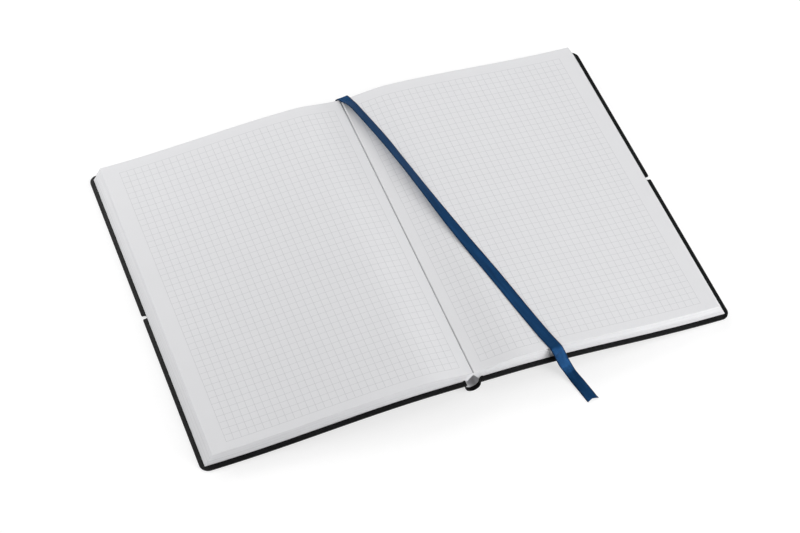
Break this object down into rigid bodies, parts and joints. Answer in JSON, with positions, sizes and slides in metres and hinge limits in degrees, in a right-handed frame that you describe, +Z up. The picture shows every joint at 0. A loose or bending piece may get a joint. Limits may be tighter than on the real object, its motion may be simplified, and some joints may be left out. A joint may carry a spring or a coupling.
{
  "type": "composition notebook",
  "caption": "Soft black notebook lying open at its middle: squared leaves over a hollow spine, bowed covers notched at the fore edges, and a flat ribbon marker trailing off the tail.",
  "frame": {"origin": "on the table under the gutter, midway between the covers' head and tail edges; the ribbon is left out of this measure", "axes": "+X runs across the open spread to the reader's right, +Y from the tail to the head of the leaves, +Z up from the table"},
  "size_m": [0.3624, 0.2889, 0.0244],
  "materials": {
    "leaves": "uncoated paper with pale grey squares",
    "lining": "uncoated white lining",
    "leatherette": "black leatherette, matt with a fine grain",
    "card": "plain thin card",
    "endpaper": "uncoated paper",
    "ribbon": "navy satin weave"
  },
  "bodies": {
    "book_block": {"text_block": "leaves", "spine_mull": "lining", "spine_skin": "leatherette", "spine_liner": "lining", "ribbon_marker": "ribbon"},
    "left_cover": {"left_card": "card", "left_cover_skin": "leatherette", "left_endpaper": "endpaper"},
    "right_cover": {"right_card": "card", "right_cover_skin": "leatherette", "right_endpaper": "endpaper"}
  },
  "joints": [
    {"name": "left_hinge", "type": "hinge", "parent": "book_block", "child": "left_cover", "pos_m": [-0.0066, 0, 0.0109], "axis": [0, -1, 0], "range_deg": [0, 85]},
    {"name": "right_hinge", "type": "hinge", "parent": "book_block", "child": "right_cover", "pos_m": [0.0066, 0, 0.0109], "axis": [0, 1, 0], "range_deg": [0, 85]}
  ]
}
